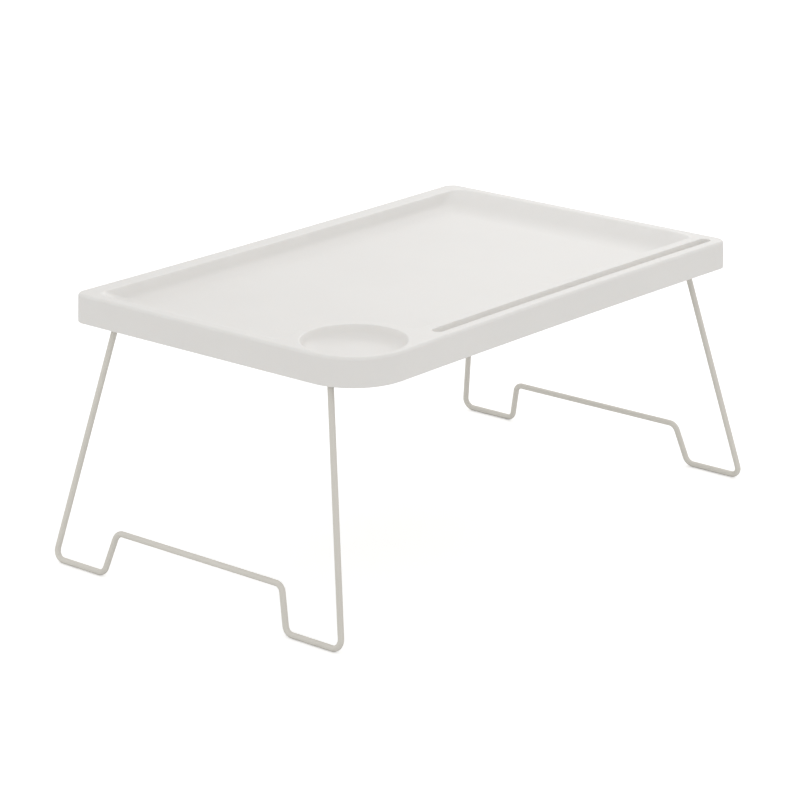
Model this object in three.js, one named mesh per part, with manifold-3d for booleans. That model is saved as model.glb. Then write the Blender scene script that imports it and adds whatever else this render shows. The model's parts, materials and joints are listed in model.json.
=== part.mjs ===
// Folding bed tray: one moulded tray on two bent wire leg frames that fold flat under it.
// Millimetres, +Z up, origin on the floor under the middle of the tray.
// +X runs along the tray's long side, and -Y is the long side with the tablet slot.

import * as THREE from "three";
import { mergeVertices } from "three/addons/utils/BufferGeometryUtils.js";
import Module from "manifold-3d";

const wasm = await Module();
wasm.setup();

// Tray
const TRAY_LENGTH = 560;
const TRAY_WIDTH = 360;
const TRAY_TOP = 260;
const SKIRT_HEIGHT = 28;
const SKIRT_DRAFT = 0.8;
const LIP_RADIUS = 2;
const WALL = 2.5;
const WAIST = 3;
const PLAIN_CORNER = 14;
const CUP_CORNER = 56;
const CORNER_STEPS = 6;
const LONG_SIDE_STEPS = 8;

// Basin of the tray, with its own margin to each side
const BASIN_DEPTH = 15;
const BASIN_CORNER = 14;
const SHORT_SIDE_RIM = 12.5;
const FAR_SIDE_RIM = 20.5;
const NEAR_SIDE_RIM = 34;
const BASIN_SLOPE_DROP = 12;
const SHORT_SLOPE = { steep: 24, total: 44 };
const LONG_SLOPE = { steep: 5, total: 22 };
const BASIN_COVE = [
  { share: 0.3, drop: 0.6 },
  { share: 0.62, drop: 0.9 },
  { share: 1, drop: 1 },
];

// Cup recess and the level ring round it
const CUP_RADIUS = 49;
const CUP_DEPTH = 10.8;
const CUP_COVE = [
  { radius: 0.66, depth: 1 },
  { radius: 0.8, depth: 0.9 },
  { radius: 0.91, depth: 0.62 },
  { radius: 1, depth: 0 },
];
const RING_WIDTH = 10;
const RING_COVE = { share: 0.4, height: 1 };
const CUP_STEPS = 40;

// Tablet slot
const SLOT_WIDTH = 11.6;
const SLOT_DEPTH = 9;
const SLOT_LEFT = -158;
const SLOT_RIGHT = 267;
const SLOT_CENTRE_Y = -163;
const SLOT_DRAFT = 0.6;

// Wire leg frames
const WIRE_RADIUS = 3;
const WIRE_SIDES = 12;
const BEND_RADIUS = 9;
const BEND_STEPS = 5;
const PIVOT_X = 266.7;
const PIVOT_Z = 240;
const LEAN = THREE.MathUtils.degToRad(10.33);
const PIN_END_Y = 106.5;
const LEG_TOP_Y = 132.3;
const FOOT_OUTER_Y = 182;
const FOOT_INNER_Y = 116;
const CROSSBAR_END_Y = 104.1;
const CROSSBAR_Z = 44.6;
const FOLDED_SLOPE = THREE.MathUtils.degToRad(3.8);

// Leg brackets and their screws
const GAP = 0.3;
const BARREL = { halfX: 7.2, inner: 104, outer: 125, low: 234.2, high: 245.8 };
const BORE = { radius: 3.45, floorY: 106 };
const FLANGE = { inner: 236, low: 238.2, high: 241.2 };
const STOP_LUG = { innerY: 121, outerY: 133, outerX: 275, low: 233, high: 243 };
const SCREW_X = 245;
const SCREW_YS = [108.6, 120.4];
const SCREW_SHANK = 1.3;
const SCREW_HEAD = { radius: 3, height: 1.8 };
const SCREW_TOP = 246;
const HOLE_RADIUS = 1.7;
const BOSS_RADIUS = 3.8;
const ROUND_STEPS = 16;

// Underside of the tray
const PAD = { inner: 6, outer: 7, margin: 1 };
const RIB = { thickness: 2, height: 3 };
const LONG_RIB_YS = [-60, 60];
const LONG_RIB_X = [-135, 200];
const CROSS_RIB_XS = [-120, 0, 120];
const CROSS_RIB_HALF = 110;
const CLIP = { gap: 0.5, arm: 3, halfWidth: 7, grip: 1.8 };

// How far one solid runs into another that it joins or cuts
const OVERLAP = 1;

const SKIRT_BOTTOM = TRAY_TOP - SKIRT_HEIGHT;
const FLOOR_UNDERSIDE = TRAY_TOP - BASIN_DEPTH - WALL;
const CUP_X = -TRAY_LENGTH / 2 + CUP_CORNER;
const CUP_Y = -TRAY_WIDTH / 2 + CUP_CORNER;

// ---------------------------------------------------------------- solids

/** Signed volume of an indexed geometry: negative when its faces point inwards. */
function signedVolume(positions, index) {
  const [a, b, c] = [new THREE.Vector3(), new THREE.Vector3(), new THREE.Vector3()];
  let volume = 0;
  for (let i = 0; i < index.length; i += 3) {
    a.fromArray(positions, index[i] * 3);
    b.fromArray(positions, index[i + 1] * 3);
    c.fromArray(positions, index[i + 2] * 3);
    volume += a.dot(b.cross(c)) / 6;
  }
  return volume;
}

/** Merged copy of a closed geometry, holding positions only, with its faces pointing out. */
function closed(geometry) {
  const copy = geometry.clone();
  copy.deleteAttribute("normal");
  copy.deleteAttribute("uv");
  const merged = mergeVertices(copy, 1e-4);
  const positions = merged.attributes.position.array;
  const index = Array.from(merged.index.array);
  if (signedVolume(positions, index) < 0) {
    index.reverse();
  }
  merged.setIndex(index);
  return merged;
}

/** Solid for joining and cutting. */
function solid(geometry) {
  const merged = closed(geometry);
  return new wasm.Manifold(
    new wasm.Mesh({
      numProp: 3,
      vertProperties: new Float32Array(merged.attributes.position.array),
      triVerts: new Uint32Array(merged.index.array),
    }),
  );
}

/** Geometry of a joined or cut solid. */
function geometryOf(shape) {
  const mesh = shape.getMesh();
  const geometry = new THREE.BufferGeometry();
  geometry.setAttribute("position", new THREE.BufferAttribute(new Float32Array(mesh.vertProperties), 3));
  geometry.setIndex(new THREE.BufferAttribute(new Uint32Array(mesh.triVerts), 1));
  geometry.computeVertexNormals();
  return geometry;
}

/** Box between two corners. */
function block(low, high) {
  const geometry = new THREE.BoxGeometry(high[0] - low[0], high[1] - low[1], high[2] - low[2]);
  geometry.translate((low[0] + high[0]) / 2, (low[1] + high[1]) / 2, (low[2] + high[2]) / 2);
  return geometry;
}

/** Upright round bar. */
function upright(x, y, low, high, radius) {
  const geometry = new THREE.CylinderGeometry(radius, radius, high - low, ROUND_STEPS);
  geometry.rotateX(Math.PI / 2);
  geometry.translate(x, y, (low + high) / 2);
  return geometry;
}

/** Outline of (x, z) points carried along Y from one y to another. */
function alongY(outline, fromY, toY) {
  const shape = new THREE.Shape(outline.map(([x, z]) => new THREE.Vector2(x, z)));
  const geometry = new THREE.ExtrudeGeometry(shape, { depth: toY - fromY, bevelEnabled: false });
  geometry.rotateX(Math.PI / 2);
  geometry.translate(0, toY, 0);
  return geometry;
}

/** Solid of revolution about an upright axis, from (radius, z) points that start and end on the axis. */
function turned(profile, x, y) {
  const points = profile.map(([radius, z]) => new THREE.Vector2(radius, z));
  const geometry = new THREE.LatheGeometry(points, CUP_STEPS);
  geometry.rotateX(Math.PI / 2);
  geometry.translate(x, y, 0);
  return geometry;
}

/** Solid through a stack of outlines that all have the same number of points. */
function loft(sections) {
  const count = sections[0].outline.length;
  const positions = sections.flatMap(({ outline, z }) => outline.flatMap(([x, y]) => [x, y, z]));
  const index = [];
  for (let level = 0; level < sections.length - 1; level += 1) {
    for (let i = 0; i < count; i += 1) {
      const a = level * count + i;
      const b = level * count + ((i + 1) % count);
      index.push(a, b, b + count, a, b + count, a + count);
    }
  }
  const top = (sections.length - 1) * count;
  for (let i = 1; i < count - 1; i += 1) {
    index.push(0, i + 1, i, top, top + i, top + i + 1);
  }
  const geometry = new THREE.BufferGeometry();
  geometry.setAttribute("position", new THREE.Float32BufferAttribute(positions, 3));
  geometry.setIndex(index);
  return geometry;
}

/** Draws the long sides in towards their middles, as the moulding does. */
function waisted(geometry) {
  const position = geometry.attributes.position;
  for (let i = 0; i < position.count; i += 1) {
    const along = position.getX(i) / (TRAY_LENGTH / 2);
    const share = 1 - (WAIST / (TRAY_WIDTH / 2)) * (1 - along * along);
    position.setY(i, position.getY(i) * share);
  }
  return geometry;
}

// ---------------------------------------------------------------- tray

/** Rounded rectangle, anticlockwise, its long sides divided so that they can be waisted. */
function roundedRectangle({ left, right, near, far }, radii) {
  const corners = [
    { x: right - radii.nearRight, y: near + radii.nearRight, r: radii.nearRight, start: -90 },
    { x: right - radii.farRight, y: far - radii.farRight, r: radii.farRight, start: 0 },
    { x: left + radii.farLeft, y: far - radii.farLeft, r: radii.farLeft, start: 90 },
    { x: left + radii.nearLeft, y: near + radii.nearLeft, r: radii.nearLeft, start: 180 },
  ];
  const points = [];
  corners.forEach(({ x, y, r, start }, corner) => {
    for (let i = 0; i <= CORNER_STEPS; i += 1) {
      const angle = THREE.MathUtils.degToRad(start + (90 * i) / CORNER_STEPS);
      points.push([x + r * Math.cos(angle), y + r * Math.sin(angle)]);
    }
    if (corner % 2 === 1) {
      const [fromX, y0] = points[points.length - 1];
      const next = corners[(corner + 1) % corners.length];
      const toX = next.x;
      for (let i = 1; i < LONG_SIDE_STEPS; i += 1) {
        points.push([fromX + ((toX - fromX) * i) / LONG_SIDE_STEPS, y0]);
      }
    }
  });
  return points;
}

/** Outline of the tray, drawn in by a margin all round. */
function trayOutline(margin) {
  const box = {
    left: -TRAY_LENGTH / 2 + margin,
    right: TRAY_LENGTH / 2 - margin,
    near: -TRAY_WIDTH / 2 + margin,
    far: TRAY_WIDTH / 2 - margin,
  };
  const plain = PLAIN_CORNER - margin;
  return roundedRectangle(box, {
    nearLeft: CUP_CORNER - margin,
    nearRight: plain,
    farRight: plain,
    farLeft: plain,
  });
}

/** Outside of the tray: a drafted skirt with a rounded lip. */
function trayBlank() {
  return waisted(
    loft([
      { z: SKIRT_BOTTOM, outline: trayOutline(0) },
      { z: TRAY_TOP - LIP_RADIUS, outline: trayOutline(SKIRT_DRAFT) },
      { z: TRAY_TOP - LIP_RADIUS * 0.3, outline: trayOutline(SKIRT_DRAFT + LIP_RADIUS * 0.3) },
      { z: TRAY_TOP, outline: trayOutline(SKIRT_DRAFT + LIP_RADIUS) },
    ]),
  );
}

/** How far the basin's wall has come in at each depth, as shares of its slope. */
function basinInset(slope, share) {
  return slope.steep + (slope.total - slope.steep) * share;
}

/** Basin, or the outside of its wall where grow is the wall's thickness. */
function basinTool(grow) {
  const levels = [
    { drop: -OVERLAP - grow, short: 0, long: 0 },
    { drop: 0, short: 0, long: 0 },
    { drop: BASIN_SLOPE_DROP, short: SHORT_SLOPE.steep, long: LONG_SLOPE.steep },
  ];
  for (const { share, drop } of BASIN_COVE) {
    levels.push({
      drop: BASIN_SLOPE_DROP + (BASIN_DEPTH - BASIN_SLOPE_DROP) * drop,
      short: basinInset(SHORT_SLOPE, share),
      long: basinInset(LONG_SLOPE, share),
    });
  }
  const corner = BASIN_CORNER + grow;
  const radii = { nearLeft: corner, nearRight: corner, farRight: corner, farLeft: corner };
  const sections = levels.map(({ drop, short, long }) => ({
    z: TRAY_TOP - drop - (drop < 0 ? 0 : grow),
    outline: roundedRectangle(
      {
        left: -TRAY_LENGTH / 2 + SHORT_SIDE_RIM + short - grow,
        right: TRAY_LENGTH / 2 - SHORT_SIDE_RIM - short + grow,
        near: -TRAY_WIDTH / 2 + NEAR_SIDE_RIM + long - grow,
        far: TRAY_WIDTH / 2 - FAR_SIDE_RIM - long + grow,
      },
      radii,
    ),
  }));
  const basin = solid(waisted(loft(sections.reverse())));
  return basin.subtract(solid(waisted(ringLand(grow))));
}

/** Level ring that stands between the cup recess and the basin. */
function ringLand(grow) {
  const top = CUP_RADIUS + RING_WIDTH - grow;
  const floor = TRAY_TOP - BASIN_DEPTH - grow;
  return turned(
    [
      [0, floor - OVERLAP],
      [top + LONG_SLOPE.total, floor - OVERLAP],
      [top + LONG_SLOPE.total, floor],
      [top + basinInset(LONG_SLOPE, RING_COVE.share), floor + RING_COVE.height],
      [top + LONG_SLOPE.steep, floor + BASIN_DEPTH - BASIN_SLOPE_DROP],
      [top, TRAY_TOP - grow],
      [top, TRAY_TOP + 2 * OVERLAP],
      [0, TRAY_TOP + 2 * OVERLAP],
    ],
    CUP_X,
    CUP_Y,
  );
}

/** Cup recess: a shallow dish with a coved wall. */
function cupTool(grow) {
  const wall = CUP_COVE.map(({ radius, depth }) => [
    CUP_RADIUS * radius + grow,
    TRAY_TOP - CUP_DEPTH * depth - grow,
  ]);
  const profile = [
    [0, TRAY_TOP - CUP_DEPTH - grow],
    ...wall,
    [CUP_RADIUS + grow, TRAY_TOP + OVERLAP],
    [0, TRAY_TOP + OVERLAP],
  ];
  return solid(waisted(turned(profile, CUP_X, CUP_Y)));
}

/** Long groove that a tablet or a book stands in. */
function slotTool(grow) {
  const outline = (margin) => {
    const radius = SLOT_WIDTH / 2 - margin;
    const radii = { nearLeft: radius, nearRight: radius, farRight: radius, farLeft: radius };
    const box = {
      left: SLOT_LEFT + margin,
      right: SLOT_RIGHT - margin,
      near: SLOT_CENTRE_Y - radius,
      far: SLOT_CENTRE_Y + radius,
    };
    return roundedRectangle(box, radii);
  };
  const geometry = loft([
    { z: TRAY_TOP - SLOT_DEPTH - grow, outline: outline(SLOT_DRAFT - grow) },
    { z: TRAY_TOP + OVERLAP, outline: outline(-grow) },
  ]);
  return solid(waisted(geometry));
}

/** Space inside the skirt, around the undersides of the basin, cup recess and slot. */
function undersideTool() {
  const room = waisted(
    loft([
      { z: SKIRT_BOTTOM - OVERLAP, outline: trayOutline(WALL) },
      { z: TRAY_TOP - WALL, outline: trayOutline(WALL + SKIRT_DRAFT) },
    ]),
  );
  return solid(room).subtract(basinTool(WALL)).subtract(cupTool(WALL)).subtract(slotTool(WALL));
}

/** Clip under the floor that a folded leg frame's crossbar presses into. */
function stowClip(side) {
  const reach = (PIVOT_Z - CROSSBAR_Z) / Math.cos(LEAN);
  const x = side * (PIVOT_X - reach * Math.cos(FOLDED_SLOPE));
  const z = PIVOT_Z - reach * Math.sin(FOLDED_SLOPE);
  const inside = WIRE_RADIUS + CLIP.gap;
  const outside = inside + CLIP.arm;
  const seat = z + inside;
  const roof = FLOOR_UNDERSIDE + OVERLAP;
  const low = z - CLIP.grip;
  return alongY(
    [
      [x - outside, low],
      [x - inside, low],
      [x - inside, seat],
      [x + inside, seat],
      [x + inside, low],
      [x + outside, low],
      [x + outside, roof],
      [x - outside, roof],
    ],
    -CLIP.halfWidth,
    CLIP.halfWidth,
  );
}

/** Stiffening ribs under the floor. */
function ribs() {
  const low = FLOOR_UNDERSIDE - RIB.height;
  const high = FLOOR_UNDERSIDE + OVERLAP;
  const half = RIB.thickness / 2;
  const rib = (fromX, toX, fromY, toY) => block([fromX, fromY, low], [toX, toY, high]);
  const along = LONG_RIB_YS.map((y) => rib(...LONG_RIB_X, y - half, y + half));
  const across = CROSS_RIB_XS.map((x) => rib(x - half, x + half, -CROSS_RIB_HALF, CROSS_RIB_HALF));
  return [...along, ...across];
}

/** Each of the four corners where a bracket is fixed, as signs of x and y. */
const CORNERS = [
  { name: "near_left", sx: -1, sy: -1 },
  { name: "near_right", sx: 1, sy: -1 },
  { name: "far_left", sx: -1, sy: 1 },
  { name: "far_right", sx: 1, sy: 1 },
];

/** The tray: one thin-walled moulding. */
function trayGeometry() {
  let tray = solid(trayBlank()).subtract(undersideTool());
  const high = TRAY_TOP - WALL / 2;
  for (const { sx, sy } of CORNERS) {
    const xs = [sx * (PIVOT_X - PAD.inner), sx * (PIVOT_X + PAD.outer)].sort((a, b) => a - b);
    const ys = [sy * (BARREL.inner + PAD.margin), sy * (BARREL.outer - PAD.margin)].sort((a, b) => a - b);
    tray = tray.add(solid(block([xs[0], ys[0], BARREL.high + GAP], [xs[1], ys[1], high])));
    for (const y of SCREW_YS) {
      tray = tray.add(solid(upright(sx * SCREW_X, sy * y, FLANGE.high + GAP, high, BOSS_RADIUS)));
    }
  }
  for (const rib of ribs()) {
    tray = tray.add(solid(rib));
  }
  for (const side of [-1, 1]) {
    tray = tray.add(solid(stowClip(side)));
  }
  tray = tray.subtract(basinTool(0)).subtract(cupTool(0)).subtract(slotTool(0));
  for (const { sx, sy } of CORNERS) {
    for (const y of SCREW_YS) {
      const hole = upright(sx * SCREW_X, sy * y, FLANGE.low, SCREW_TOP + GAP, HOLE_RADIUS);
      tray = tray.subtract(solid(hole));
    }
  }
  return geometryOf(tray);
}

// ---------------------------------------------------------------- wire leg frames

/** Wire bent to a constant radius at each corner of a flat route. */
class BentWire extends THREE.Curve {
  constructor(corners, radius) {
    super();
    this.stations = [];
    const direction = (from, to) => to.clone().sub(from).normalize();
    this.add(corners[0], direction(corners[0], corners[1]));
    for (let i = 1; i < corners.length - 1; i += 1) {
      const before = direction(corners[i - 1], corners[i]);
      const after = direction(corners[i], corners[i + 1]);
      this.bend(corners[i], before, after, radius);
    }
    const last = corners.length - 1;
    this.add(corners[last], direction(corners[last - 1], corners[last]));
  }

  add(point, tangent) {
    this.stations.push({ point: point.clone(), tangent: tangent.clone() });
  }

  bend(corner, before, after, radius) {
    const turn = before.angleTo(after);
    const start = corner.clone().addScaledVector(before, -radius * Math.tan(turn / 2));
    const inward = after.clone().addScaledVector(before, -before.dot(after)).normalize();
    const centre = start.clone().addScaledVector(inward, radius);
    for (let i = 0; i <= BEND_STEPS; i += 1) {
      const angle = (turn * i) / BEND_STEPS;
      const point = centre
        .clone()
        .addScaledVector(inward, -radius * Math.cos(angle))
        .addScaledVector(before, radius * Math.sin(angle));
      const tangent = before
        .clone()
        .multiplyScalar(Math.cos(angle))
        .addScaledVector(inward, Math.sin(angle));
      this.add(point, tangent);
    }
  }

  station(u) {
    return this.stations[Math.round(u * (this.stations.length - 1))];
  }

  getPoint(u, target = new THREE.Vector3()) {
    return target.copy(this.station(u).point);
  }

  getPointAt(u, target) {
    return this.getPoint(u, target);
  }

  getTangentAt(u, target = new THREE.Vector3()) {
    return target.copy(this.station(u).tangent);
  }
}

/** Point of a leg frame at a height, leaning out from its pivot. */
function onLeg(side, y, z) {
  return new THREE.Vector3(side * (PIVOT_X + (PIVOT_Z - z) * Math.tan(LEAN)), y, z);
}

/** Leg frame: hinge pin, leg, foot, riser, crossbar and back up the other side, in one wire. */
function legGeometry(side) {
  const half = [
    [PIN_END_Y, PIVOT_Z],
    [LEG_TOP_Y, PIVOT_Z],
    [FOOT_OUTER_Y, WIRE_RADIUS],
    [FOOT_INNER_Y, WIRE_RADIUS],
    [CROSSBAR_END_Y, CROSSBAR_Z],
  ];
  const near = half.map(([y, z]) => onLeg(side, -y, z));
  const far = half.map(([y, z]) => onLeg(side, y, z)).reverse();
  const wire = new BentWire([...near, ...far], BEND_RADIUS);
  const section = new THREE.Shape(
    Array.from({ length: WIRE_SIDES }, (_, i) => {
      const angle = (2 * Math.PI * i) / WIRE_SIDES;
      return new THREE.Vector2(WIRE_RADIUS * Math.cos(angle), WIRE_RADIUS * Math.sin(angle));
    }),
  );
  const options = { steps: wire.stations.length - 1, extrudePath: wire, bevelEnabled: false };
  return closed(new THREE.ExtrudeGeometry(section, options));
}

// ---------------------------------------------------------------- brackets and screws

/** Copy of a geometry mirrored to another corner of the tray. */
function mirrored(geometry, sx, sy) {
  return closed(geometry.clone().scale(sx, sy, 1));
}

/** Bracket of the far right corner: a barrel for the hinge pin, a screwed flange and a stop lug. */
function bracketGeometry() {
  const low = PIVOT_X - BARREL.halfX;
  const high = PIVOT_X + BARREL.halfX;
  const barrel = solid(block([low, BARREL.inner, BARREL.low], [high, BARREL.outer, BARREL.high]));
  const flangeEnd = [low + OVERLAP, BARREL.outer, FLANGE.high];
  const flange = solid(block([FLANGE.inner, BARREL.inner, FLANGE.low], flangeEnd));
  const stopFace = (z) => PIVOT_X + (PIVOT_Z - z) * Math.tan(LEAN) + (WIRE_RADIUS + GAP) / Math.cos(LEAN);
  const lug = alongY(
    [
      [stopFace(STOP_LUG.low), STOP_LUG.low],
      [STOP_LUG.outerX, STOP_LUG.low],
      [STOP_LUG.outerX, STOP_LUG.high],
      [stopFace(STOP_LUG.high), STOP_LUG.high],
    ],
    STOP_LUG.innerY,
    STOP_LUG.outerY,
  );
  const boreEnd = STOP_LUG.outerY + OVERLAP;
  const bore = new THREE.CylinderGeometry(BORE.radius, BORE.radius, boreEnd - BORE.floorY, ROUND_STEPS);
  bore.translate(PIVOT_X, (BORE.floorY + boreEnd) / 2, PIVOT_Z);
  let bracket = barrel.add(flange).add(solid(lug)).subtract(solid(bore));
  for (const y of SCREW_YS) {
    const hole = upright(SCREW_X, y, FLANGE.low - OVERLAP, FLANGE.high + OVERLAP, HOLE_RADIUS);
    bracket = bracket.subtract(solid(hole));
  }
  return geometryOf(bracket);
}

/** Pan-head self-tapping screw, seated under the flange of a bracket. */
function screwGeometry(x, y) {
  const seat = FLANGE.low - GAP;
  const head = solid(upright(x, y, seat - SCREW_HEAD.height, seat, SCREW_HEAD.radius));
  const shank = solid(upright(x, y, seat - OVERLAP, SCREW_TOP, SCREW_SHANK));
  return geometryOf(head.add(shank));
}

// ---------------------------------------------------------------- materials and assembly

const trayPlastic = new THREE.MeshStandardMaterial({ color: 0xf1f0ec, roughness: 0.45, metalness: 0 });
const bracketPlastic = new THREE.MeshStandardMaterial({ color: 0xe4e3df, roughness: 0.5, metalness: 0 });
const wireCoat = new THREE.MeshStandardMaterial({ color: 0xb9b7ae, roughness: 0.4, metalness: 0.2 });
const screwSteel = new THREE.MeshStandardMaterial({ color: 0xb8bbbf, roughness: 0.35, metalness: 0.9 });

/** Named mesh of one sub-part. */
function subPart(name, geometry, material) {
  const mesh = new THREE.Mesh(geometry, material);
  mesh.name = name;
  return mesh;
}

/** The whole table. */
function assemble() {
  const table = new THREE.Group();
  table.add(subPart("tray", trayGeometry(), trayPlastic));
  table.add(subPart("wire_leg_left", legGeometry(-1), wireCoat));
  table.add(subPart("wire_leg_right", legGeometry(1), wireCoat));
  const bracket = bracketGeometry();
  for (const { name, sx, sy } of CORNERS) {
    table.add(subPart(`leg_bracket_${name}`, mirrored(bracket, sx, sy), bracketPlastic));
    SCREW_YS.forEach((y, i) => {
      const screw = screwGeometry(sx * SCREW_X, sy * y);
      table.add(subPart(`bracket_screw_${name}_${i + 1}`, screw, screwSteel));
    });
  }
  return table;
}

export default assemble();
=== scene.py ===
"""Looks of a folding bed tray: a white moulded tray on two folding wire leg frames.

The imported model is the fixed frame. The moulded tray and the wires are worked out again here as
smooth surfaces, and the brackets keep their own shape under better finishes. Metres throughout.
"""

import json
import logging
import math
from dataclasses import dataclass, field
from enum import Enum

import bmesh
import bpy
import numpy as np
from mathutils import Matrix, Vector


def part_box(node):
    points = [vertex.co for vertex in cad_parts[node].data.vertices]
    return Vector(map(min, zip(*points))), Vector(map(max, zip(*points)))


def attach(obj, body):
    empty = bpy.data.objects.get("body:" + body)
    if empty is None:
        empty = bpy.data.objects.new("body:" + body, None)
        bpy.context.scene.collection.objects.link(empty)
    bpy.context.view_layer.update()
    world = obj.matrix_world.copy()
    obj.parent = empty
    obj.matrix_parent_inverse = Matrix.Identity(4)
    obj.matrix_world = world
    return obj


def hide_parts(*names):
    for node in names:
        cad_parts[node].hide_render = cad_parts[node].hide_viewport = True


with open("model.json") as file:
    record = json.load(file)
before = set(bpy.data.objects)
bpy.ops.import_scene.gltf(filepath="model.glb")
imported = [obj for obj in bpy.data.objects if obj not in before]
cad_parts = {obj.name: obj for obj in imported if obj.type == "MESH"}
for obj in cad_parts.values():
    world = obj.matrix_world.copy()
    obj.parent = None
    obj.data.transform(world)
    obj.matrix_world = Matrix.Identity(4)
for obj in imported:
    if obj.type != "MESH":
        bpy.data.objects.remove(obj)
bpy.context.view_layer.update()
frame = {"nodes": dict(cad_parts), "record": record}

LOG = logging.getLogger("bed_tray")
MM = 0.001


class Body(str, Enum):
    """Rigid bodies that pieces ride on."""

    TRAY = "tray"
    LEFT = "leg_left"
    RIGHT = "leg_right"


class Slot(str, Enum):
    """Material slots of the record."""

    TRAY = "tray_plastic"
    WIRE = "wire_coating"
    BRACKET = "bracket_plastic"
    SCREW = "screw_steel"


@dataclass(frozen=True)
class Hinge:
    """The pins that a leg frame turns on, as the record gives them. Millimetres.

    side is -1 at the left and 1 at the right, and out is the distance from the tray's middle.
    """

    side: int
    out: float
    height: float

    @classmethod
    def of(cls, body: Body) -> "Hinge":
        """Read the hinge of a leg frame's body.

        Args:
            body: the body that turns.

        Returns:
            Its hinge.
        """
        joints = frame["record"]["behaviour"]["joints"]
        x, _, z = next(joint["pos_m"] for joint in joints if joint["child"] == body.value)
        return cls(-1 if x < 0 else 1, abs(x) / MM, z / MM)


def nodes_named(start: str) -> list[str]:
    """Names of the frame's nodes that begin with a word, in alphabetical order."""
    return sorted(name for name in frame["nodes"] if name.startswith(start))


def upright_axis(node: str) -> tuple[float, float, float, float]:
    """Middle x and y of a node's box and its lowest and highest z, in millimetres."""
    low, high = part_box(node)
    return (low.x + high.x) / 2 / MM, (low.y + high.y) / 2 / MM, low.z / MM, high.z / MM


# ---------------------------------------------------------------- shared shader effects


def new_group(name: str, inputs: dict[str, float], outputs: dict[str, str]) -> bpy.types.NodeTree:
    """Make an empty shader group with float inputs and named outputs.

    Args:
        name: name of the group.
        inputs: each input's name and its starting value.
        outputs: each output's name and its socket type.

    Returns:
        The group, with its input and output nodes in place.
    """
    group = bpy.data.node_groups.new(name, "ShaderNodeTree")
    for label, value in inputs.items():
        socket = group.interface.new_socket(label, in_out="INPUT", socket_type="NodeSocketFloat")
        socket.default_value = value
    for label, kind in outputs.items():
        group.interface.new_socket(label, in_out="OUTPUT", socket_type=kind)
    group.nodes.new("NodeGroupInput").name = "in"
    group.nodes.new("NodeGroupOutput").name = "out"
    return group


def add_node(tree: bpy.types.NodeTree, kind: str, **values: object) -> bpy.types.Node:
    """Add a node and set its plain properties.

    Args:
        tree: the node tree that takes it.
        kind: Blender's name for the node's type.
        values: properties of the node and their values.

    Returns:
        The new node.
    """
    node = tree.nodes.new(kind)
    for key, value in values.items():
        setattr(node, key, value)
    return node


def add_math(tree: bpy.types.NodeTree, operation: str, a: object, b: object) -> bpy.types.NodeSocket:
    """Add a math node.

    Args:
        tree: the node tree that takes it.
        operation: Blender's name for what it does.
        a: the first input, a socket or a number.
        b: the second input, a socket or a number.

    Returns:
        The node's result.
    """
    node = add_node(tree, "ShaderNodeMath", operation=operation)
    for socket, value in zip(node.inputs, (a, b)):
        if isinstance(value, bpy.types.NodeSocket):
            tree.links.new(value, socket)
        else:
            socket.default_value = value
    return node.outputs[0]


def add_noise(
    tree: bpy.types.NodeTree,
    place: bpy.types.NodeSocket,
    scale: object,
    detail: float,
    stretch: tuple[float, float, float] = (1.0, 1.0, 1.0),
) -> bpy.types.NodeSocket:
    """Add noise on stretched coordinates.

    Args:
        tree: the node tree that takes it.
        place: coordinates that the noise is read at.
        scale: lumps in a metre, a number or a socket.
        detail: octaves of finer noise.
        stretch: how many times finer the pattern is along each axis.

    Returns:
        The noise's value, about 0.5 on average.
    """
    mapping = add_node(tree, "ShaderNodeMapping")
    mapping.inputs["Scale"].default_value = stretch
    tree.links.new(place, mapping.inputs["Vector"])
    noise = add_node(tree, "ShaderNodeTexNoise")
    noise.inputs["Detail"].default_value = detail
    tree.links.new(mapping.outputs[0], noise.inputs["Vector"])
    if isinstance(scale, bpy.types.NodeSocket):
        tree.links.new(scale, noise.inputs["Scale"])
    else:
        noise.inputs["Scale"].default_value = scale
    return noise.outputs["Fac"]


def moulded_grain_group() -> bpy.types.NodeTree:
    """Build the fine spark-eroded grain of a moulding: a height and a slow mottle.

    Returns:
        Group with inputs Grain and Mottle (lumps in a metre) and outputs Height and Mottle.
    """
    group = new_group(
        "moulded_grain",
        {"Grain": 2400.0, "Mottle": 9.0},
        {"Height": "NodeSocketFloat", "Mottle": "NodeSocketFloat"},
    )
    place = add_node(group, "ShaderNodeTexCoord").outputs["Object"]
    entry, end = group.nodes["in"], group.nodes["out"]
    fine = add_noise(group, place, entry.outputs["Grain"], 2.0)
    coarse = add_noise(group, place, add_math(group, "MULTIPLY", entry.outputs["Grain"], 0.27), 2.0)
    height = add_math(group, "ADD", fine, add_math(group, "MULTIPLY", coarse, 0.6))
    group.links.new(height, end.inputs["Height"])
    group.links.new(add_noise(group, place, entry.outputs["Mottle"], 3.0), end.inputs["Mottle"])
    return group


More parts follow.
